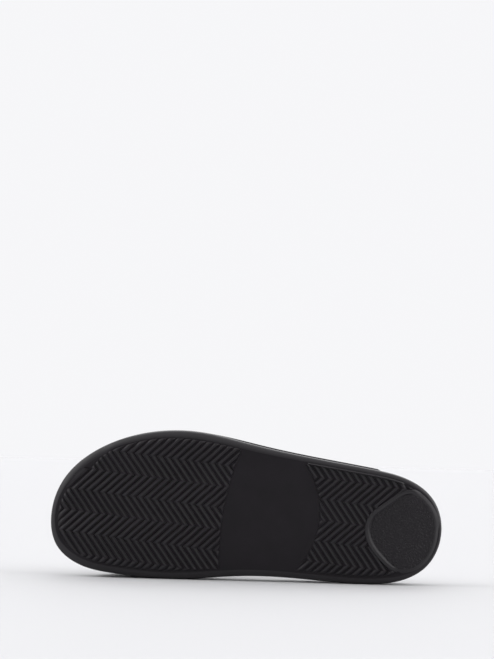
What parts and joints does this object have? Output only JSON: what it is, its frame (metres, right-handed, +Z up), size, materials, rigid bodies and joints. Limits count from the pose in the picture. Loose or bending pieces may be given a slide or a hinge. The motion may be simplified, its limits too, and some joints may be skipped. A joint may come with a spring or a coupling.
{
  "type": "slide sandal",
  "caption": "Left slide sandal lying on its inner side: moulded sole with herringbone tread, smooth arch and heel disc, contoured footbed and one wide strap.",
  "frame": {"origin": "centre of the footprint, on the floor under the sandal as it lies on its inner side", "axes": "+X from the toe to the heel along the floor, +Y from the tread towards the strap, +Z up"},
  "size_m": [0.2814, 0.0862, 0.1067],
  "materials": {
    "moulded_rubber": "black moulded foam rubber, matt with a fine grain",
    "brushed_footbed": "black brushed cover on a moulded footbed",
    "coated_strap": "black coated strap with low ribs and a fine grain"
  },
  "bodies": {
    "root": {"sole": "moulded_rubber", "footbed": "brushed_footbed", "strap": "coated_strap"}
  },
  "joints": []
}
